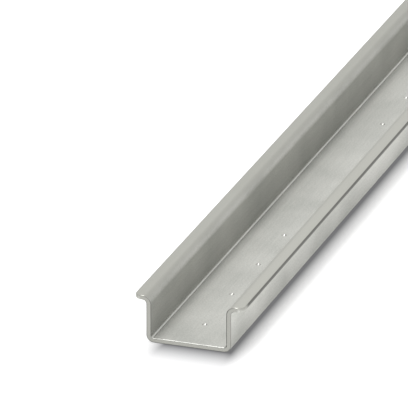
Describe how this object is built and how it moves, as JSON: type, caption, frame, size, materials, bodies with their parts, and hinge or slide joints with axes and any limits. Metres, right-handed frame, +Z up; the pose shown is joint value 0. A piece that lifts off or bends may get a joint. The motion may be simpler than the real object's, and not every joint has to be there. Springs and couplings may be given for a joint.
{
  "type": "din rail",
  "caption": "Deep top-hat mounting rail of galvanised steel strip, 35 mm wide and 15 mm high, unperforated, with out-turned lips for clip-on switchgear and terminals; a one metre stock length.",
  "frame": {"origin": "middle of the rail's length and width, on the back face of its floor", "axes": "+X along the rail, +Y across it, +Z up out of the channel's open side"},
  "size_m": [1, 0.035, 0.015],
  "materials": {
    "zinc_plated_steel": "satin zinc plating, passivated clear"
  },
  "bodies": {
    "root": {"din_rail": "zinc_plated_steel"}
  },
  "joints": []
}
